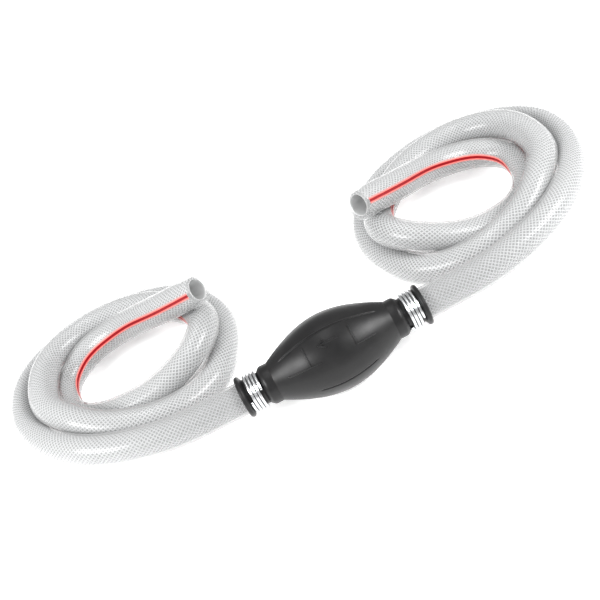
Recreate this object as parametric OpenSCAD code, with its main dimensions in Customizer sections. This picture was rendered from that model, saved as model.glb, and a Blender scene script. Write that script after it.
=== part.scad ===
// Hand siphon hose with a squeeze primer bulb, in millimetres.
// The bulb lies along X with its axis bulb_z above the floor, and it pumps
// towards -X: liquid comes in by the hose on the +X side and leaves by the one
// on the -X side. Each hose is laid in a loose coil beside the bulb.

/* [Bulb] */
// Largest radius of the belly
belly_r = 23; // [22:0.5:25]
// Half of the belly's length along X
belly_half = 36.2; // [35.5:0.1:36.4]
// Wall thickness of the rubber
belly_wall = 2.6; // [2:0.2:3]

/* [Necks] */
// Outer radius of the collar at the belly's end
collar_r = 11.6; // [11:0.1:12.4]
// Radius of the groove that the clamp sits in
groove_r = 9.25; // [9.1:0.05:9.25]
// Outer radius of the lip at the hose's exit
lip_r = 12.2; // [11.5:0.1:13]
// Distance from the bulb's centre to the lip's outer face
lip_x = 57; // [56.5:0.5:58]

/* [Clamps] */
// Diameter of the clamp wire
wire_d = 2; // [1.6:0.1:2]
// Distance from one turn of wire to the next
wire_pitch = 2.06; // [2.04:0.01:2.1]
// Number of turns
wire_turns = 3.94; // [3:0.02:4]

/* [Valves] */
// Diameter of the valve ball
ball_d = 8; // [7.6:0.1:8]
// Bore of the barbed stem
stem_bore_r = 4.6; // [4:0.1:4.8]

/* [Hoses] */
// Outer diameter of the hose
hose_d = 19; // [18.6:0.1:19]
// Bore of the hose
hose_bore = 13; // [12:0.5:13]
// Depth of the open bore at the hose's free end
mouth_depth = 20; // [15:1:21]
// Outer radius of the coil
coil_r = 77; // [74:1:78]
// Inner radius of the coil
coil_hole_r = 27; // [24:1:32]
// Height of the coil
coil_h = 37; // [34:1:38]

/* [Hidden] */
$fn = 64;
bulb_z = belly_r;
rubber_col = [0.13, 0.13, 0.14];
wire_col = [0.78, 0.79, 0.8];
hose_col = [0.82, 0.84, 0.84];
brass_col = [0.75, 0.6, 0.3];
steel_col = [0.7, 0.72, 0.74];
// Where the housing of each valve stands, measured outwards from the bulb's centre
housing_a = 24;
housing_b = 43.2;
housing_r = 8.4;
housing_bore = 7;
// The inlet's valve is the outlet's moved along X by this much
stack_shift = 66.2;
coil_centre = [-121, 78];
// Line of each hose from inside its neck to its free end
outlet_route = [[-44, 0, 23], [-70, 1, 22], [-97, 2, 22], [-125, 7, 24], [-151, 19, 25],
                [-174, 43, 23], [-188, 76, 18], [-186, 110, 15], [-168, 134, 12], [-138, 145, 10],
                [-106, 144, 10], [-72, 127, 10], [-54, 93, 10], [-58, 61, 10], [-74, 36, 11],
                [-102, 24, 17], [-132, 29, 23], [-154, 44, 28], [-170, 71, 28], [-165, 107, 26],
                [-136, 129, 22], [-98, 124, 21], [-71, 98, 23], [-61, 71, 28], [-77, 49, 26],
                [-107, 44, 18], [-141, 51, 14], [-161, 71, 12], [-161, 96, 13], [-141, 112, 17],
                [-109, 107, 26], [-81, 85, 41], [-54, 69, 53]];
inlet_route = [[44, 0, 23], [70, 1, 22], [97, 2, 22], [125, 7, 24], [151, 19, 25],
               [174, 43, 23], [188, 77, 18], [187, 112, 15], [168, 138, 12], [138, 150, 10],
               [106, 148, 10], [72, 130, 10], [54, 95, 10], [58, 61, 10], [74, 36, 11],
               [102, 24, 17], [132, 29, 23], [154, 44, 28], [170, 71, 28], [166, 109, 26],
               [137, 131, 22], [99, 125, 21], [71, 98, 23], [61, 71, 28], [77, 49, 26],
               [106, 43, 15], [138, 49, 11], [157, 69, 12], [158, 94, 14], [139, 110, 17],
               [108, 106, 26], [80, 85, 41], [53, 69, 53]];
end_len = 68;
// The free ends point along (-+0.8, -0.48, 0.36)
end_tilt = acos(0.6);

// Catmull-Rom point between b and c
function cr(a, b, c, d, t) = 0.5 * (2 * b + (c - a) * t + (2 * a - 5 * b + 4 * c - d) * t * t + (3 * b - a - 3 * c + d) * t * t * t);
// Point before the first or after the last, on the same line
function ext(p, i) = i < 0 ? 2 * p[0] - p[1] : i > len(p) - 1 ? 2 * p[len(p) - 1] - p[len(p) - 2] : p[i];
function along(p, i, n) = [for (k = [0 : n - 1]) cr(ext(p, i - 1), p[i], p[i + 1], ext(p, i + 2), k / n)];
function unit(v) = v / norm(v);

// Closed tube through points p with radius r, one ring of n sides at each point
module sweep(p, r, n, up = [0, 0, 1]) {
    m = len(p);
    tang = [for (i = [0 : m - 1]) unit(p[min(i + 1, m - 1)] - p[max(i - 1, 0)])];
    side = [for (i = [0 : m - 1]) unit(cross(tang[i], up))];
    pts = [for (i = [0 : m - 1]) for (j = [0 : n - 1])
        p[i] + r * (cos(360 * j / n) * side[i] + sin(360 * j / n) * cross(side[i], tang[i]))];
    walls = [for (i = [0 : m - 2]) for (j = [0 : n - 1])
        each [[i * n + j, (i + 1) * n + j, (i + 1) * n + (j + 1) % n],
              [i * n + j, (i + 1) * n + (j + 1) % n, i * n + (j + 1) % n]]];
    polyhedron(pts, concat(walls, [[for (j = [0 : n - 1]) j], [for (j = [n - 1 : -1 : 0]) (m - 1) * n + j]]));
}

// Round wire wound along X: starts at x0 and angle a0, measured from +Y to +Z
module winding(x0, a0, turns, pitch, mean_r, d, per_turn, n) {
    m = ceil(turns * per_turn);
    pts = [for (i = [0 : m]) for (j = [0 : n - 1])
        let (q = turns * 360 * i / m, a = a0 + q, c = 360 * j / n, rr = mean_r + d / 2 * cos(c))
        [x0 + pitch * q / 360 + d / 2 * sin(c), rr * cos(a), rr * sin(a)]];
    walls = [for (i = [0 : m - 1]) for (j = [0 : n - 1])
        each [[i * n + j, (i + 1) * n + (j + 1) % n, (i + 1) * n + j],
              [i * n + j, i * n + (j + 1) % n, (i + 1) * n + (j + 1) % n]]];
    polyhedron(pts, concat(walls, [[for (j = [n - 1 : -1 : 0]) j], [for (j = [0 : n - 1]) m * n + j]]));
}

// Turns a profile of (x, radius) about the bulb's axis
module turned() { translate([0, 0, bulb_z]) rotate([0, 90, 0]) rotate_extrude() rotate([0, 0, 90]) mirror([0, 1]) children(); }
// The outlet's half is drawn towards +X and turned to face -X
module outward(s) { if (s < 0) mirror([1, 0, 0]) children(); else children(); }

// Belly

k = belly_r / 23;
half_profile = [[0, 23], [4, 22.85], [8, 22.35], [12, 21.6], [16, 20.55], [20, 19.2], [24, 17.7], [28, 15.95], [32, 14.05], [34.5, 12.75]];
module belly_outline(wall) {
    outer = concat([[-belly_half, 11.9]], [for (i = [len(half_profile) - 1 : -1 : 1]) [-half_profile[i][0], half_profile[i][1] * k]],
                   [for (p = half_profile) [p[0], p[1] * k]], [[belly_half, 11.9]]);
    inner = [for (i = [len(outer) - 1 : -1 : 0]) [outer[i][0], outer[i][1] - wall]];
    polygon(concat(outer, inner));
}
module bulb_belly() { color(rubber_col) turned() belly_outline(belly_wall); }

// Neck: collar, clamp groove and rolled lip, with the valve housing's bore and the hose's bore
module neck(s) {
    color(rubber_col) outward(s) turned()
        polygon([[36.5, 8.4], [36.5, collar_r - 0.3], [36.8, collar_r], [41.6, collar_r], [42.9, 11], [43.5, groove_r],
                 [53.9, groove_r], [54.3, lip_r - 0.5], [54.9, lip_r], [56.4, lip_r], [lip_x, lip_r - 0.6],
                 [lip_x, 9.52], [53.2, 9.3], [52.6, 8.1], [43.4, 8.1], [43.2, 8.4]]);
}
module inlet_neck() { neck(1); }
module outlet_neck() { neck(-1); }

// Clamps: one length of round spring wire wound in the groove, the same hand at both ends
module inlet_clamp() {
    color(wire_col) translate([0, 0, bulb_z]) winding(44.7, 200, wire_turns, wire_pitch, 10.3, wire_d, 18, 8);
}
module outlet_clamp() {
    color(wire_col) translate([0, 0, bulb_z]) winding(-52.8, 162, wire_turns, wire_pitch, 10.3, wire_d, 18, 8);
}

// Valve body: housing in the collar and a barbed stem inside the hose
module valve_body(s) {
    color(brass_col) outward(s) turned()
        polygon([[housing_a, housing_bore], [housing_a, housing_r - 0.4], [housing_a + 0.4, housing_r],
                 [housing_b - 0.05, housing_r], [housing_b - 0.05, 6.3], [45.5, 6.3], [46.2, 6.6], [48, 6.2],
                 [48.6, 6.6], [50.4, 6.2], [51, 6.6], [54.6, 5.8], [55, 5.4], [55, stem_bore_r],
                 [42, stem_bore_r], [42, housing_bore]]);
}
module inlet_valve_body() { valve_body(1); }
module outlet_valve_body() { valve_body(-1); }

// The parts below are placed by u, which grows along the flow. The outlet's
// stack has x = -u, the inlet's x = stack_shift - u.
module flow(shift) { translate([shift, 0, 0]) mirror([1, 0, 0]) children(); }

// Seat: a ring with a coned mouth that the ball closes
module valve_seat(shift) {
    color(rubber_col) flow(shift) turned()
        polygon([[24.2, 2.8], [24.2, housing_bore], [27, housing_bore], [27, 3.6], [26.2, 2.8]]);
}
module inlet_valve_seat() { valve_seat(stack_shift); }
module outlet_valve_seat() { valve_seat(0); }

// Ball, held 0.25 clear of its seat
ball_u = 29.4;
module valve_ball(shift) { color(steel_col) translate([shift - ball_u, 0, bulb_z]) sphere(d = ball_d); }
module inlet_valve_ball() { valve_ball(stack_shift); }
module outlet_valve_ball() { valve_ball(0); }

// Spring between the ball and the cage
spring_a = 32.9;
spring_b = 39.9;
module valve_spring(shift) {
    color(steel_col) translate([shift - spring_b, 0, bulb_z])
        winding(0, 0, 4.5, (spring_b - spring_a) / 4.5, 2.8, 0.6, 14, 6);
}
module inlet_valve_spring() { valve_spring(stack_shift); }
module outlet_valve_spring() { valve_spring(0); }

// Cage: a ring that the spring rests on, with four fingers that guide the ball
module valve_cage(shift) {
    color([0.9, 0.9, 0.88]) flow(shift) {
        turned() polygon([[40.4, 2.1], [40.4, 4.2], [41.9, 4.2], [41.9, 2.1]]);
        turned() polygon([[40.4, 5.9], [40.4, 6.95], [41.9, 6.95], [41.9, 5.9]]);
        for (a = [45 : 90 : 315]) translate([0, 0, bulb_z]) rotate([a, 0, 0]) {
            translate([40.4, -0.8, 4]) cube([1.5, 1.6, 2.2]);
            translate([27.3, -0.8, 4.4]) cube([13.5, 1.6, 2.4]);
        }
    }
}
module inlet_valve_cage() { valve_cage(stack_shift); }
module outlet_valve_cage() { valve_cage(0); }

// Hose tail: the clamped end of the hose, squeezed between neck and stem
module hose_tail(s) {
    color(hose_col) outward(s) turned()
        polygon([[43.6, 6.4], [43.6, 8.15], [52.5, 8.15], [53.1, hose_d / 2 - 0.15], [54, hose_d / 2], [lip_x, hose_d / 2],
                 [lip_x, hose_bore / 2], [52, 6.4]]);
}
module inlet_hose_tail() { hose_tail(1); }
module outlet_hose_tail() { hose_tail(-1); }

// Hose lead: from the lip to the coil's first turn
module hose_lead(p) {
    color(hose_col) sweep(concat([[p[1][0] / abs(p[1][0]) * lip_x, 0, 23]], along(p, 1, 2), along(p, 2, 2), [p[3]]), hose_d / 2, 12);
}
module inlet_hose_lead() { hose_lead(inlet_route); }
module outlet_hose_lead() { hose_lead(outlet_route); }

// Hose coil: the outer shape of two and three quarter turns lying on the floor
module hose_coil(s) {
    e = 9;
    color(hose_col) translate([s * 121, coil_centre[1], 0]) rotate_extrude($fn = 96)
        polygon([[coil_hole_r + e * 0.6, 0], [coil_r - e, 0], [coil_r - e * 0.3, e * 0.35], [coil_r, e],
                 [coil_r, coil_h - e * 1.2], [coil_r - e * 0.3, coil_h - e * 0.4], [coil_r - e, coil_h],
                 [coil_hole_r + e, coil_h], [coil_hole_r + e * 0.3, coil_h - e * 0.4], [coil_hole_r, coil_h - e],
                 [coil_hole_r, e * 0.7]]);
}
module inlet_hose_coil() { hose_coil(1); }
module outlet_hose_coil() { hose_coil(-1); }

// Hose end: the last straight length, cut square, with its open bore
module hose_end(tip, side) {
    color(hose_col) translate(tip) rotate([end_tilt, 0, 0]) rotate([0, -side * end_tilt, 0]) difference() {
        translate([0, 0, -end_len]) cylinder(d = hose_d, h = end_len);
        translate([0, 0, -mouth_depth]) cylinder(d = hose_bore, h = mouth_depth + 1);
    }
}
module inlet_hose_end() { hose_end(inlet_route[32], 1); }
module outlet_hose_end() { hose_end(outlet_route[32], -1); }

bulb_belly();
inlet_neck();
outlet_neck();
inlet_clamp();
outlet_clamp();
inlet_valve_body();
inlet_valve_seat();
inlet_valve_ball();
inlet_valve_spring();
inlet_valve_cage();
outlet_valve_body();
outlet_valve_seat();
outlet_valve_ball();
outlet_valve_spring();
outlet_valve_cage();
inlet_hose_tail();
inlet_hose_lead();
inlet_hose_coil();
inlet_hose_end();
outlet_hose_tail();
outlet_hose_lead();
outlet_hose_coil();
outlet_hose_end();
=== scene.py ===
import math
import bpy
import numpy as np
from mathutils import Vector, Matrix
from mathutils.kdtree import KDTree


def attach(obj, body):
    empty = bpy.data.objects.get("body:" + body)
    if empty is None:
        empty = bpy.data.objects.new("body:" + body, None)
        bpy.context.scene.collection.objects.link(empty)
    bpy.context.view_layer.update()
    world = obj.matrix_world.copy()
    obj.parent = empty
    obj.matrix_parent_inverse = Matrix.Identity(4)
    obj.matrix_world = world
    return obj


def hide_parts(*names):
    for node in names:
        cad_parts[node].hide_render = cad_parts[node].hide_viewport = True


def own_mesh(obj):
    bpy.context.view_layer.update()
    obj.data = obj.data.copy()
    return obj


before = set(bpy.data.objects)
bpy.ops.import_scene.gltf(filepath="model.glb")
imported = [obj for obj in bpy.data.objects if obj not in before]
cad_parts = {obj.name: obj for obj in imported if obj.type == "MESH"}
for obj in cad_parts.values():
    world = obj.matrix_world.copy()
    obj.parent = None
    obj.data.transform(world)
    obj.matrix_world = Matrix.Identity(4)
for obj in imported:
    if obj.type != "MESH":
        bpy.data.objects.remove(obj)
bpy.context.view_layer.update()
MM = 0.001

# ---------------------------------------------------------------- camera
elev, roll = math.radians(40), math.radians(27.6)
right, up = Vector((1, 0, 0)), Vector((0, math.sin(elev), math.cos(elev)))
ahead = Vector((0, math.cos(elev), -math.sin(elev)))
cx = right * math.cos(roll) - up * math.sin(roll)
cy = right * math.sin(roll) + up * math.cos(roll)
cam_data = bpy.data.cameras.new("camera")
cam_data.sensor_width = 36.0
cam_data.lens = 58.44
cam_data.clip_start = 0.01
cam = bpy.data.objects.new("camera", cam_data)
bpy.context.scene.collection.objects.link(cam)
rot = Matrix((cx, cy, -ahead)).transposed()
cam.matrix_world = Matrix.Translation(Vector((-0.0034, -0.3936, 0.3972))) @ rot.to_4x4()
bpy.context.scene.camera = cam

# ---------------------------------------------------------------- helpers
def add_mesh(name, verts, faces, smooth=True, sharp=None):
    me = bpy.data.meshes.new(name)
    me.from_pydata([tuple(v) for v in verts], [], faces)
    me.validate()
    me.update()
    ob = bpy.data.objects.new(name, me)
    bpy.context.scene.collection.objects.link(ob)
    me.polygons.foreach_set("use_smooth", [smooth] * len(me.polygons))
    if sharp is not None:
        me.set_sharp_from_angle(angle=math.radians(sharp))
    return ob


def add_uv(ob, uv):
    """One (u, v) for each vertex, set on every face corner that uses that vertex."""
    me = ob.data
    layer = me.uv_layers.new(name="UVMap")
    idx = np.empty(len(me.loops), dtype=np.int32)
    me.loops.foreach_get("vertex_index", idx)
    layer.data.foreach_set("uv", np.asarray(uv, dtype=np.float32)[idx].ravel())


# ---------------------------------------------------------------- hose route
ROUTES = {
    "outlet": [
        [-44, 0, 23], [-70, 1, 22], [-97, 2, 22], [-125, 7, 24], [-151, 19, 25],
        [-174, 43, 23], [-188, 76, 18], [-186, 110, 15], [-168, 134, 12], [-138, 145, 10],
        [-106, 144, 10], [-72, 127, 10], [-54, 93, 10], [-58, 61, 10], [-74, 36, 11],
        [-102, 24, 17], [-132, 29, 23], [-154, 44, 28], [-170, 71, 28], [-165, 107, 26],
        [-136, 129, 22], [-98, 124, 21], [-71, 98, 23], [-61, 71, 28], [-77, 49, 26],
        [-107, 44, 18], [-141, 51, 14], [-161, 71, 12], [-161, 96, 13], [-141, 112, 17],
        [-109, 107, 26], [-81, 85, 41], [-54, 69, 53]],
    "inlet": [
        [44, 0, 23], [70, 1, 22], [97, 2, 22], [125, 7, 24], [151, 19, 25],
        [174, 43, 23], [188, 77, 18], [187, 112, 15], [168, 138, 12], [138, 150, 10],
        [106, 148, 10], [72, 130, 10], [54, 95, 10], [58, 61, 10], [74, 36, 11],
        [102, 24, 17], [132, 29, 23], [154, 44, 28], [170, 71, 28], [166, 109, 26],
        [137, 131, 22], [99, 125, 21], [71, 98, 23], [61, 71, 28], [77, 49, 26],
        [106, 43, 15], [138, 49, 11], [157, 69, 12], [158, 94, 14], [139, 110, 17],
        [108, 106, 26], [80, 85, 41], [53, 69, 53]],
}


def extended(p):
    return np.vstack([2 * p[0] - p[1], p, 2 * p[-1] - p[-2]])


def catmull(p, n):
    e, out = extended(p), []
    for i in range(len(p) - 1):
        a, b, c, d = e[i], e[i + 1], e[i + 2], e[i + 3]
        for k in range(n):
            t = k / n
            out.append(0.5 * (2 * b + (c - a) * t + (2 * a - 5 * b + 4 * c - d) * t * t + (3 * b - a - 3 * c + d) * t ** 3))
    out.append(p[-1])
    return np.array(out)


def bspline(p, n):
    e, out = extended(p), []
    for i in range(len(p) - 1):
        a, b, c, d = e[i], e[i + 1], e[i + 2], e[i + 3]
        for k in range(n):
            t = k / n
            out.append(((1 - t) ** 3 * a + (3 * t ** 3 - 6 * t * t + 4) * b + (-3 * t ** 3 + 3 * t * t + 3 * t + 1) * c + t ** 3 * d) / 6)
    out.append(p[-1])
    return np.array(out)


def resample(p, step):
    s = np.concatenate([[0], np.cumsum(np.linalg.norm(np.diff(p, axis=0), axis=1))])
    n = int(round(s[-1] / step))
    q = np.linspace(0, s[-1], n + 1)
    return np.stack([np.interp(q, s, p[:, k]) for k in range(3)], axis=1), q


def unit_rows(v):
    return v / np.linalg.norm(v, axis=-1, keepdims=True)


class Hose:
    """One hose. Its surface is asked for by ring, angle and radius, and lies flat against its neighbours."""

    def __init__(self, end, step=1.5):
        route = np.array(ROUTES[end], dtype=float)
        self.hand = -1.0 if end == "inlet" else 1.0
        self.c, self.s = resample(bspline(catmull(route, 3), 8), step)
        self.n_rings = len(self.c)
        # where along the hose each of the route's points falls
        self.at = [float(self.s[int(np.argmin(np.linalg.norm(self.c - p, axis=1) + 1e3 * (np.abs(self.s / self.s[-1] * 32 - k) > 4)))]) for k, p in enumerate(route)]
        self.exit = int(np.argmin(np.abs(np.abs(self.c[:, 0]) - 57) + (self.s > 40) * 1e3))
        c = self.c
        t = np.gradient(c, axis=0)
        self.t = unit_rows(t)
        # frames that don't twist
        n = np.array([0.0, 0.0, 1.0])
        self.n, self.b = [], []
        for i in range(len(c)):
            n = n - self.t[i] * np.dot(n, self.t[i])
            n = n / np.linalg.norm(n)
            self.n.append(n)
            self.b.append(np.cross(self.t[i], n))
        self.n, self.b = np.array(self.n), np.array(self.b)
        # planes halfway to each neighbouring strand
        kd = KDTree(len(c))
        for i, p in enumerate(c):
            kd.insert(p, i)
        kd.balance()
        self.planes = []
        for i, p in enumerate(c):
            near = sorted((j, d) for q, j, d in kd.find_range(p, 19.4) if abs(self.s[j] - self.s[i]) > 45)
            runs, found = [], []
            for j, d in near:
                if runs and j - runs[-1][-1][0] < 8:
                    runs[-1].append((j, d))
                else:
                    runs.append([(j, d)])
            for r in runs:
                j, d = min(r, key=lambda x: x[1])
                u = (c[j] - p) / d
                u = u - self.t[i] * np.dot(u, self.t[i])
                m = np.linalg.norm(u)
                if m > 0.5:
                    found.append((u / m, d * m / 2))
            self.planes.append(found)

    def radius(self, s, r):
        """Narrowed inside the neck, where the clamp squeezes the hose onto its stem."""
        x = 44 + s
        k = min(1.0, max(0.0, (x - 52.0) / 2.5))
        k = k * k * (3 - 2 * k)
        return r * (0.86 + 0.14 * k)

    def direction(self, i, a):
        return self.n[i] * math.cos(a) + self.b[i] * math.sin(a)

    def point(self, i, a, r, back=0.0):
        """back is how far inside the outer surface this radius lies, for the flattening."""
        v = self.direction(i, a) * self.radius(self.s[i], r)
        for u, h in self.planes[i]:
            over = np.dot(v, u) - (h - 0.04 - back)
            if over > 0:
                v = v - u * over
        return self.c[i] + v

    def grid(self, r, sides, back=0.0, i0=0, i1=None):
        i1 = len(self.c) if i1 is None else i1
        a = np.arange(sides) * 2 * math.pi / sides
        out = np.empty((i1 - i0, sides, 3))
        for k, i in enumerate(range(i0, i1)):
            rr = self.radius(self.s[i], r)
            v = rr * (np.cos(a)[:, None] * self.n[i] + np.sin(a)[:, None] * self.b[i])
            for u, h in self.planes[i]:
                over = np.maximum(0, v @ u - (h - 0.04 - back))
                v = v - over[:, None] * u
            out[k] = self.c[i] + v
        return out


def metres(p):
    return np.array(p, dtype=float).reshape(-1, 3) * MM


def tube_faces(rows, sides, flip=False, base=0):
    f = []
    for i in range(rows - 1):
        for j in range(sides):
            a, b = base + i * sides + j, base + i * sides + (j + 1) % sides
            c, d = a + sides, b + sides
            f.append((a, c, d, b) if flip else (a, b, d, c))
    return f


def hose_mesh(name, hose, sides=36):
    """A closed hollow tube: outer wall, inner wall and two ring-shaped ends with a small chamfer."""
    n = hose.n_rings
    outer = hose.grid(9.5, sides)
    inner = hose.grid(6.5, sides, back=2.6)
    # the chamfered rims of the free end
    tip = hose.c[-1]
    o2 = tip + (outer[-1] - tip) * (9.2 / 9.5)
    i2 = tip + (inner[-1] - tip) * (6.8 / 6.5)
    outer[-1] -= hose.t[-1] * 0.35
    inner[-1] -= hose.t[-1] * 0.35
    V = metres(np.vstack([outer.reshape(-1, 3), o2, i2, inner[::-1].reshape(-1, 3)]))
    rows = 2 * n + 2
    F = tube_faces(rows, sides)
    last = (rows - 1) * sides
    F += [(last + j, last + (j + 1) % sides, (j + 1) % sides, j) for j in range(sides)]
    return add_mesh(name, V, F, sharp=50)


def braid_mesh(name, hose, r=8.1, sides=32, i0=4):
    """A thin sleeve inside the wall that carries the yarn. UV: metres along the hose, turns round it."""
    i1 = hose.n_rings - 1
    g = hose.grid(r, sides, back=9.5 - r, i0=i0, i1=i1)
    rows = i1 - i0
    g = np.concatenate([g, g[:, :1]], axis=1)
    S = sides + 1
    F = []
    for i in range(rows - 1):
        for j in range(sides):
            a, b = i * S + j, i * S + j + 1
            F.append((a, b, b + S, a + S))
    ob = add_mesh(name, metres(g), F)
    uv = np.stack(np.meshgrid(hose.s[i0:i1] * MM, np.arange(S) / sides, indexing="ij"), axis=-1).reshape(-1, 2)
    add_uv(ob, uv)
    return ob


def stripe_angle(hose, i, tilt):
    """The side that faces the inside of the bend, turned up by tilt degrees, as an angle in the ring's frame."""
    t = hose.t[i]
    inner = np.cross(t, (0, 0, hose.hand))
    inner /= np.linalg.norm(inner)
    upw = np.array([0, 0, 1.0]) - t * t[2]
    upw = upw - inner * np.dot(upw, inner)
    upw /= np.linalg.norm(upw)
    a = math.radians(tilt)
    d = inner * math.cos(a) + upw * math.sin(a)
    return math.atan2(np.dot(d, hose.b[i]), np.dot(d, hose.n[i]))


# the hose is wound with a slow twist: (route point, how far the stripe is turned up from level)
STRIPE = [(0, -40), (19, -40), (20, -38), (21, 15), (22, 40), (23, -20), (24, -45), (25, -40), (26, -40), (27, -5), (28, 15), (29, 22), (30, 24), (31, 24), (32, 27)]


def stripe_mesh(name, hose, width=4.6):
    """The red line in the wall: a dark core with a thin red haze on each side. UV: across, along."""
    n = hose.n_rings
    keys_s = [hose.at[k] for k, _ in STRIPE]
    tilt = np.interp(hose.s, keys_s, [v for _, v in STRIPE])
    ang = np.unwrap([stripe_angle(hose, i, tilt[i]) for i in range(n)])
    w = 14
    pad = np.concatenate([np.full(w, ang[0]), ang, np.full(w, ang[-1])])
    ang = np.convolve(pad, np.ones(2 * w + 1) / (2 * w + 1), mode="valid")
    prof = [(-0.5, -0.12), (-0.47, 0.02), (-0.3, 0.045), (-0.1, 0.06), (0.1, 0.06), (0.3, 0.045), (0.47, 0.02), (0.5, -0.12)]
    i0, i1 = 8, n - 1
    V, uv = [], []
    for i in range(i0, i1):
        for k, h in prof:
            V.append(hose.point(i, ang[i] + k * width / 9.5, 9.5 + h, back=-h))
            uv.append((k + 0.5, hose.s[i] * MM))
    rows, S = i1 - i0, len(prof)
    F = tube_faces(rows, S)
    F += [tuple(range(S)), tuple((rows - 1) * S + j for j in range(S))[::-1]]
    ob = add_mesh(name, metres(V), F, sharp=60)
    add_uv(ob, uv)
    return ob


# ---------------------------------------------------------------- node shorthand
class Mat:
    def __init__(self, name):
        self.m = bpy.data.materials.new(name)
        self.m.use_nodes = True
        self.t = self.m.node_tree
        self.t.nodes.clear()
        self.out = self.t.nodes.new("ShaderNodeOutputMaterial")

    def n(self, kind, **kw):
        node = self.t.nodes.new(kind)
        for k, v in kw.items():
            if k.startswith("_"):
                setattr(node, k[1:], v)
        for k, v in kw.items():
            if not k.startswith("_"):
                self.put(node, k.replace("__", " "), v)
        return node

    def put(self, node, key, v):
        sock = node.inputs[int(key[1:])] if key[0] == "i" and key[1:].isdigit() else node.inputs[key]
        if isinstance(v, bpy.types.NodeSocket):
            self.t.links.new(v, sock)
        else:
            sock.default_value = v

    def math(self, op, a, b=None, clamp=False):
        nd = self.n("ShaderNodeMath", _operation=op, _use_clamp=clamp)
        self.put(nd, "i0", a)
        if b is not None:
            self.put(nd, "i1", b)
        return nd.outputs[0]

    def ramp(self, fac, stops):
        nd = self.n("ShaderNodeValToRGB")
        self.put(nd, "Fac", fac)
        el = nd.color_ramp.elements
        while len(el) < len(stops):
            el.new(0.5)
        for e, (p, c) in zip(el, stops):
            e.position = p
            e.color = c if len(c) == 4 else (*c, 1)
        return nd.outputs["Color"]

    def end(self, shader):
        self.t.links.new(shader, self.out.inputs["Surface"])
        return self.m


def mapped(m, scale=(1, 1, 1), coord="Object"):
    tc = m.n("ShaderNodeTexCoord")
    mp = m.n("ShaderNodeMapping", Vector=tc.outputs[coord], Scale=scale)
    return mp.outputs["Vector"]


# ---------------------------------------------------------------- materials
def mat_rubber(name="black_rubber", base=0.022, rough=0.42):
    m = Mat(name)
    v = mapped(m)
    big = m.n("ShaderNodeTexNoise", Vector=v, Scale=60.0, Detail=4.0, Roughness=0.6)
    fine = m.n("ShaderNodeTexNoise", Vector=v, Scale=1500.0, Detail=3.0, Roughness=0.6)
    col = m.ramp(big.outputs["Fac"], [(0.3, (base * 0.8, base * 0.8, base * 0.84)), (0.7, (base * 1.35, base * 1.33, base * 1.36))])
    rg = m.n("ShaderNodeMapRange", Value=big.outputs["Fac"], **{"From Min": 0.3, "From Max": 0.7, "To Min": rough - 0.05, "To Max": rough + 0.07})
    bump = m.n("ShaderNodeBump", Height=fine.outputs["Fac"], Strength=0.25, Distance=0.00015)
    p = m.n("ShaderNodeBsdfPrincipled", **{"Base Color": col, "Roughness": rg.outputs["Result"], "Normal": bump.outputs["Normal"], "Specular IOR Level": 0.22})
    return m.end(p.outputs["BSDF"])


def mat_metal(name, color, rough, bump_scale=900.0, strength=0.15, aniso=None):
    m = Mat(name)
    v = mapped(m)
    nz = m.n("ShaderNodeTexNoise", Vector=v, Scale=bump_scale, Detail=3.0)
    sm = m.n("ShaderNodeTexNoise", Vector=v, Scale=120.0, Detail=3.0)
    col = m.ramp(sm.outputs["Fac"], [(0.3, tuple(c * 0.88 for c in color)), (0.7, color)])
    rg = m.n("ShaderNodeMapRange", Value=sm.outputs["Fac"], **{"From Min": 0.3, "From Max": 0.7, "To Min": rough * 0.8, "To Max": rough * 1.25})
    bump = m.n("ShaderNodeBump", Height=nz.outputs["Fac"], Strength=strength, Distance=0.0001)
    p = m.n("ShaderNodeBsdfPrincipled", **{"Base Color": col, "Metallic": 1.0, "Roughness": rg.outputs["Result"], "Normal": bump.outputs["Normal"]})
    return m.end(p.outputs["BSDF"])


def mat_plain(name, color, rough, scale=300.0, var=0.12, bump=0.1):
    m = Mat(name)
    v = mapped(m)
    nz = m.n("ShaderNodeTexNoise", Vector=v, Scale=scale, Detail=4.0)
    col = m.ramp(nz.outputs["Fac"], [(0.3, tuple(c * (1 - var) for c in color)), (0.7, color)])
    b = m.n("ShaderNodeBump", Height=nz.outputs["Fac"], Strength=bump, Distance=0.0001)
    p = m.n("ShaderNodeBsdfPrincipled", **{"Base Color": col, "Roughness": rough, "Normal": b.outputs["Normal"]})
    return m.end(p.outputs["BSDF"])


def mat_pvc(name, colour, facing, edge):
    """Clear flexible PVC: a thin clear skin that thickens to grey towards its edges."""
    m = Mat(name)
    v = mapped(m)
    big = m.n("ShaderNodeTexNoise", Vector=v, Scale=45.0, Detail=3.0)
    fine = m.n("ShaderNodeTexNoise", Vector=v, Scale=420.0, Detail=2.0)
    bump = m.n("ShaderNodeBump", Height=fine.outputs["Fac"], Strength=0.25, Distance=0.0003)
    lw = m.n("ShaderNodeLayerWeight", Blend=0.35, Normal=bump.outputs["Normal"])
    alpha = m.n("ShaderNodeMapRange", Value=lw.outputs["Facing"], **{"From Min": 0.0, "From Max": 1.0, "To Min": facing, "To Max": edge})
    a2 = m.math("ADD", alpha.outputs["Result"], m.math("MULTIPLY", m.math("SUBTRACT", big.outputs["Fac"], 0.5), 0.12), clamp=True)
    p = m.n("ShaderNodeBsdfPrincipled", **{"Base Color": colour, "Roughness": 0.19, "IOR": 1.5, "Normal": bump.outputs["Normal"], "Alpha": a2})
    return m.end(p.outputs["BSDF"])


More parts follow.
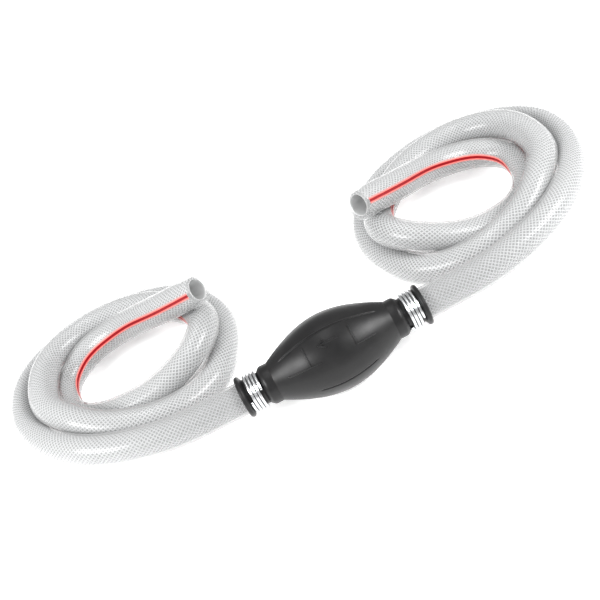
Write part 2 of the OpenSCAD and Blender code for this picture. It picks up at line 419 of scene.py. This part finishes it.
def mat_braid():
    """White yarns laid in two directions; the clear gaps between them carry a dark grey film at part opacity, a
    painted shade for the darker inside of the hose seen through them.
    """
    m = Mat("yarn_braid")
    uv = m.n("ShaderNodeTexCoord").outputs["UV"]
    sep = m.n("ShaderNodeSeparateXYZ", Vector=uv)
    s, q = sep.outputs["X"], sep.outputs["Y"]
    # round the hose there are 20 diamonds, and one is 2.6 mm long
    per_turn, pitch = 20.0, 0.0026
    s1 = m.math("DIVIDE", s, pitch)
    q1 = m.math("MULTIPLY", q, per_turn)
    lines = []
    for sgn in ("ADD", "SUBTRACT"):
        w = m.math(sgn, s1, q1)
        f = m.math("ABSOLUTE", m.math("SUBTRACT", m.math("FRACT", w), 0.5))
        lines.append(m.n("ShaderNodeMapRange", Value=f, _interpolation_type="SMOOTHSTEP", **{"From Min": 0.15, "From Max": 0.23, "To Min": 1.0, "To Max": 0.0}).outputs["Result"])
    both = m.math("MAXIMUM", lines[0], lines[1])
    cross = m.math("MULTIPLY", lines[0], lines[1])
    fibre = m.n("ShaderNodeTexNoise", Vector=mapped(m), Scale=1500.0, Detail=2.0)
    shade = m.math("ADD", m.math("MULTIPLY", fibre.outputs["Fac"], 0.25), m.math("ADD", m.math("MULTIPLY", both, 0.6), m.math("MULTIPLY", cross, 0.15)))
    # the gap colour is painted shade: dark grey laid on the clear gaps between the yarns
    col = m.ramp(shade, [(0.1, BRAID_GAP_SHADE), (0.75, BRAID_LIGHT)])
    # the yarn is darker beside the neck
    near = m.n("ShaderNodeMapRange", Value=s, _interpolation_type="SMOOTHSTEP", **{"From Min": 0.012, "From Max": 0.11, "To Min": 0.55, "To Max": 1.0})
    col = m.n("ShaderNodeVectorMath", _operation="MULTIPLY", i0=col, i1=near.outputs["Result"]).outputs["Vector"]
    height = m.math("ADD", both, cross)
    bump = m.n("ShaderNodeBump", Height=height, Strength=0.7, Distance=0.0006)
    alpha = m.math("ADD", m.math("MULTIPLY", both, BRAID_A), BRAID_FILM, clamp=True)
    p = m.n("ShaderNodeBsdfPrincipled", **{"Base Color": col, "Roughness": 0.55, "Normal": bump.outputs["Normal"], "Alpha": alpha})
    return m.end(p.outputs["BSDF"])


PVC_COL = (0.43, 0.435, 0.435, 1)
# the first colour is painted shade for the gaps between yarns, the second the yarn's own white
BRAID_GAP_SHADE, BRAID_LIGHT = (0.14, 0.145, 0.15), (0.52, 0.525, 0.53)
BRAID_A, BRAID_FILM = 0.5, 0.45

rubber = mat_rubber(base=0.007, rough=0.36)
seat_rubber = mat_plain("seat_rubber", (0.05, 0.05, 0.052), 0.6)
steel = mat_metal("bright_wire", (0.60, 0.61, 0.62), 0.2)
ballsteel = mat_metal("polished_steel", (0.72, 0.73, 0.75), 0.14, strength=0.05)
brass = mat_metal("turned_brass", (0.72, 0.52, 0.22), 0.3)
acetal = mat_plain("acetal", (0.82, 0.81, 0.76), 0.4)
pvc, braid = mat_pvc("clear_pvc", PVC_COL, 0.28, 0.72), mat_braid()
lining = mat_pvc("milky_pvc_lining", (0.60, 0.605, 0.605, 1), 0.72, 0.9)


def mat_stripe():
    """Red pigment in the clear wall: dense in the middle, thinning out to a pink haze at the sides."""
    m = Mat("red_stripe")
    u = m.n("ShaderNodeSeparateXYZ", Vector=m.n("ShaderNodeTexCoord").outputs["UV"]).outputs["X"]
    nz = m.n("ShaderNodeTexNoise", Vector=mapped(m), Scale=220.0, Detail=3.0)
    off = m.math("ABSOLUTE", m.math("SUBTRACT", u, 0.5))
    off = m.math("ADD", off, m.math("MULTIPLY", m.math("SUBTRACT", nz.outputs["Fac"], 0.5), 0.05))
    col = m.ramp(off, [(0.0, (0.19, 0.001, 0.004)), (0.15, (0.22, 0.001, 0.005)), (0.21, (0.70, 0.13, 0.11)), (0.5, (0.82, 0.45, 0.42))])
    al = m.n("ShaderNodeMapRange", Value=off, _interpolation_type="SMOOTHSTEP", **{"From Min": 0.18, "From Max": 0.5, "To Min": 1.0, "To Max": 0.1})
    p = m.n("ShaderNodeBsdfPrincipled", **{"Base Color": col, "Roughness": 0.3, "Specular IOR Level": 0.3, "Alpha": al.outputs["Result"]})
    return m.end(p.outputs["BSDF"])


red = mat_stripe()

# ---------------------------------------------------------------- hoses
for end in ("outlet", "inlet"):
    hose = Hose(end)
    tube = hose_mesh(f"{end}_hose", hose)
    tube.data.materials.append(pvc)
    tube.data.materials.append(lining)
    wall = (hose.n_rings + 1) * 36
    for f in tube.data.polygons[wall:-36]:
        f.material_index = 1
    yarn = braid_mesh(f"{end}_braid", hose)
    yarn.data.materials.append(braid)
    line = stripe_mesh(f"{end}_stripe", hose)
    line.data.materials.append(red)
    for o in (tube, yarn, line):
        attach(o, "root")
    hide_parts(f"{end}_hose_tail", f"{end}_hose_lead", f"{end}_hose_coil", f"{end}_hose_end")

# ---------------------------------------------------------------- bulb
Z0 = 23.0
PROFILE = [(0, 23), (4, 22.85), (8, 22.35), (12, 21.6), (16, 20.55), (20, 19.2), (24, 17.7), (28, 15.95), (32, 14.05), (34.5, 12.75), (36.4, 11.75)]
# a smooth curve through the profile
prof3 = np.array([(-x, r, 0) for x, r in PROFILE[:0:-1]] + [(x, r, 0) for x, r in PROFILE], float)
dense = bspline(catmull(prof3, 4), 6)
FX, FR = dense[dense[:, 0] >= 0][:, 0], dense[dense[:, 0] >= 0][:, 1]


def belly_radius(x):
    return float(np.interp(abs(x), FX, FR))


def on_belly(x, deg, lift=0.0):
    """A point of the belly's surface, deg measured from +Y over the top to the front."""
    r = belly_radius(x) + lift
    a = math.radians(deg)
    return (x * MM, r * math.cos(a) * MM, (Z0 + r * math.sin(a)) * MM)


def revolve(name, outline, angles=96, sharp=35, extra=None):
    """A closed outline of (x, radius), turned about the bulb's axis."""
    degs = list(np.arange(0, 360, 360 / angles))
    if extra is not None:
        degs = sorted(set([round(d, 3) for d in degs] + list(extra)))
    n, m = len(outline), len(degs)
    V, F = [], []
    for d in degs:
        a = math.radians(d)
        for x, r in outline:
            V.append((x * MM, r * math.cos(a) * MM, (Z0 + r * math.sin(a)) * MM))
    for i in range(m):
        for j in range(n):
            a, b = i * n + j, i * n + (j + 1) % n
            c, d = ((i + 1) % m) * n + j, ((i + 1) % m) * n + (j + 1) % n
            F.append((a, b, d, c))
    ob = add_mesh(name, V, F, sharp=sharp)
    return ob, degs, n


xs = list(np.linspace(-36.4, 36.4, 140))
outer = [(x, belly_radius(x)) for x in xs]
inner = [(x, belly_radius(x) - 2.6) for x in xs[::-3]]
inner[-1] = (xs[0], belly_radius(xs[0]) - 2.6)
seam_degs = [round(c + d, 3) for c in (101.0, 188.0) for d in np.arange(-3.5, 3.51, 0.25)]
belly, degs, n = revolve("belly", outer + inner, angles=120, extra=seam_degs)


def smoothstep(a, b, x):
    t = min(1.0, max(0.0, (x - a) / (b - a)))
    return t * t * (3 - 2 * t)


# mould lines: a fine raised one near the top, and a groove along the front
vs = belly.data.vertices
for i, d in enumerate(degs):
    for j in range(len(outer)):
        x, r = outer[j]
        arc_top = math.radians(d - 101.0) * r
        arc_front = math.radians(d - 188.0) * r
        h = 0.0
        if abs(arc_top) < 1.2:
            k = smoothstep(-31, -26, x) * (1 - smoothstep(27, 31, x))
            h += 0.30 * k * (math.exp(-((arc_top / 0.35) ** 2)) - 0.8 * math.exp(-(((arc_top - 0.55) / 0.35) ** 2)))
        if abs(arc_front) < 1.4:
            k = smoothstep(-17, -14, x) * (1 - smoothstep(18, 21, x))
            h -= 0.45 * k * math.exp(-((arc_front / 0.45) ** 2))
        if h:
            a = math.radians(d)
            vs[i * n + j].co.y += h * math.cos(a) * MM
            vs[i * n + j].co.z += h * math.sin(a) * MM
belly.data.materials.append(rubber)


def raised_line(name, pts, width=0.8, height=0.28, step=0.5):
    """A moulded line that stands proud of the belly, through pts of (x, degrees)."""
    P = []
    for (x0, d0), (x1, d1) in zip(pts[:-1], pts[1:]):
        ln = math.hypot(x1 - x0, math.radians(d1 - d0) * belly_radius((x0 + x1) / 2))
        k = max(2, int(ln / step))
        P += [(x0 + (x1 - x0) * t / k, d0 + (d1 - d0) * t / k) for t in range(k)]
    P.append(pts[-1])
    sec = [(-0.5, -0.25), (-0.36, 0.7), (-0.15, 1.0), (0.15, 1.0), (0.36, 0.7), (0.5, -0.25)]
    V, F, S = [], [], len(sec)
    for i, (x, d) in enumerate(P):
        a, b = P[max(0, i - 1)], P[min(len(P) - 1, i + 1)]
        r = belly_radius(x)
        tx, ts = b[0] - a[0], math.radians(b[1] - a[1]) * r
        ln = math.hypot(tx, ts) or 1
        nx, ns = -ts / ln, tx / ln
        for w, h in sec:
            V.append(on_belly(x + nx * w * width, d + math.degrees(ns * w * width / r), h * height))
    F = tube_faces(len(P), S)
    F += [tuple(range(S)), tuple((len(P) - 1) * S + j for j in range(S))[::-1]]
    ob = add_mesh(name, V, F, sharp=70)
    ob.data.materials.append(rubber)
    return ob


marks = [
    raised_line("flow_arrow_shaft", [(-5.6, 122), (5.2, 122)], width=1.5, height=0.55),
    raised_line("flow_arrow_head_a", [(-6.4, 122), (-2.6, 127.5)], width=1.2, height=0.55),
    raised_line("flow_arrow_head_b", [(-6.4, 122), (-2.6, 116.5)], width=1.2, height=0.55),
    raised_line("panel_left", [(-14.8, 111), (-14.8, 143)], width=0.9, height=0.5),
    raised_line("panel_left_foot", [(-8.9, 143.5), (-27.4, 143.5), (-28.0, 140.5)], width=0.9, height=0.5),
    raised_line("panel_right", [(12.8, 111), (12.8, 143.5), (24.5, 143.5)], width=0.9, height=0.5),
]

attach(belly, "root")
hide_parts("bulb_belly")
for o in marks:
    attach(o, "root")
for o in [belly] + marks:
    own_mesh(o)


def rounded(points, r=0.5, k=4):
    """A closed outline with its corners rounded; each point may carry its own radius."""
    P = [(p[0], p[1], p[2] if len(p) > 2 else r) for p in points]
    out = []
    for i in range(len(P)):
        p0, p1, p2 = P[i - 1], P[i], P[(i + 1) % len(P)]
        a = Vector((p0[0] - p1[0], p0[1] - p1[1]))
        b = Vector((p2[0] - p1[0], p2[1] - p1[1]))
        q = min(p1[2], a.length * 0.45, b.length * 0.45)
        c = Vector((p1[0], p1[1]))
        s, e = c + a.normalized() * q, c + b.normalized() * q
        for t in range(k + 1):
            u = t / k
            v = s * (1 - u) ** 2 + c * 2 * u * (1 - u) + e * u * u
            out.append((v.x, v.y))
    return out


neck_outline = [(36.2, 8.6), (36.2, 11.55, 0.2), (38.5, 11.65), (41.6, 11.6, 1.2), (43.5, 9.8, 1.0), (43.9, 9.25, 0.4),
                (53.2, 9.25, 0.8), (54.3, 11.6, 0.8), (55.0, 12.25, 0.8), (56.4, 12.15, 0.8), (57.0, 11.2, 0.6), (57.0, 9.6, 0.3),
                (53.4, 9.5), (52.6, 8.25), (43.3, 8.25), (43.2, 8.6)]
for side, end in ((-1, "outlet"), (1, "inlet")):
    pts = rounded(neck_outline)
    if side < 0:
        pts = [(-x, r) for x, r in pts][::-1]
    neck, _, _ = revolve(f"{end}_neck_skin", pts, angles=96, sharp=40)
    neck.data.materials.append(rubber)
    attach(neck, "root")
    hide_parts(f"{end}_neck")


def wire(name, x0, a0, turns, pitch, mean, d, per_turn=40, sides=12):
    m = int(turns * per_turn)
    V = []
    rows = 0
    C, T = [], []
    for i in range(m + 1):
        a = math.radians(a0 + turns * 360 * i / m)
        C.append(Vector((x0 + pitch * turns * i / m, mean * math.cos(a), mean * math.sin(a) + Z0)))
        T.append(Vector((pitch / (2 * math.pi), -mean * math.sin(a), mean * math.cos(a))).normalized())
    for c, t, k in [(C[0], T[0], 0.72), (C[0] + T[0] * 0.18, T[0], 0.95)] + [(C[i], T[i], 1.0) for i in range(1, m)] + [(C[m] - T[m] * 0.18, T[m], 0.95), (C[m], T[m], 0.72)]:
        rad = Vector((0, c.y, c.z - Z0)).normalized()
        oth = t.cross(rad).normalized()
        for j in range(sides):
            b = 2 * math.pi * j / sides
            V.append((c + (rad * math.cos(b) + oth * math.sin(b)) * (d / 2 * k)) * MM)
        rows += 1
    F = tube_faces(rows, sides)
    F += [tuple(range(sides)), tuple((rows - 1) * sides + j for j in range(sides))[::-1]]
    ob = add_mesh(name, V, F, sharp=60)
    ob.data.materials.append(steel)
    return ob


for end, x0, a0 in (("inlet", 44.7, 200), ("outlet", -52.8, 162)):
    w = wire(f"{end}_clamp_wire", x0, a0, 3.94, 2.06, 10.3, 1.86)
    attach(w, "root")
    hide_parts(f"{end}_clamp")

# the valve springs: a round wire
for end, x0 in (("inlet", 26.3), ("outlet", -39.9)):
    sp = wire(f"{end}_spring_wire", x0, 0, 4.5, 7 / 4.5, 2.8, 0.6, per_turn=28, sides=10)
    sp.data.materials.clear()
    sp.data.materials.append(ballsteel)
    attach(sp, "root")
    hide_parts(f"{end}_valve_spring")
    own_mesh(sp)

# ---------------------------------------------------------------- CAD pieces that stay
for end in ("inlet", "outlet"):
    for part, mat in (("valve_body", brass), ("valve_seat", seat_rubber), ("valve_ball", ballsteel), ("valve_cage", acetal)):
        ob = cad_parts[f"{end}_{part}"]
        ob.data.materials.clear()
        ob.data.materials.append(mat)

# ---------------------------------------------------------------- stage and light
floor = add_mesh("floor", [(-4, -4, 0), (4, -4, 0), (4, 4, 0), (-4, 4, 0)], [(0, 1, 2, 3)], smooth=False)
fm = Mat("pale_floor")
nz = fm.n("ShaderNodeTexNoise", Vector=mapped(fm), Scale=3.0)
fcol = fm.ramp(nz.outputs["Fac"], [(0.0, (0.96, 0.96, 0.96)), (1.0, (0.98, 0.98, 0.98))])
floor.data.materials.append(fm.end(fm.n("ShaderNodeBsdfPrincipled", **{"Base Color": fcol, "Roughness": 0.9, "Specular IOR Level": 0.0, "Emission Color": (1, 1, 1, 1), "Emission Strength": 0.4}).outputs["BSDF"]))

world = bpy.data.worlds.new("world")
bpy.context.scene.world = world
world.use_nodes = True
world.node_tree.nodes["Background"].inputs["Color"].default_value = (1, 1, 1, 1)
world.node_tree.nodes["Background"].inputs["Strength"].default_value = 0.66
bpy.context.scene.view_settings.view_transform = "Standard"


def area(name, loc, target, size, power, size_y=None):
    d = bpy.data.lights.new(name, "AREA")
    d.energy = power
    d.shape = "RECTANGLE"
    d.size, d.size_y = size, size_y or size
    o = bpy.data.objects.new(name, d)
    bpy.context.scene.collection.objects.link(o)
    o.location = loc
    o.rotation_euler = (Vector(target) - Vector(loc)).to_track_quat("-Z", "Y").to_euler()
    return o


area("left_box", (-1.0, -0.40, 0.85), (0, 0.03, 0.02), 0.8, 26.0, size_y=0.45)
area("right_box", (1.0, -0.40, 0.85), (0, 0.03, 0.02), 0.8, 26.0, size_y=0.45)
area("top_box", (0.0, 0.25, 1.5), (0, 0.05, 0), 0.25, 5.0, size_y=1.1)
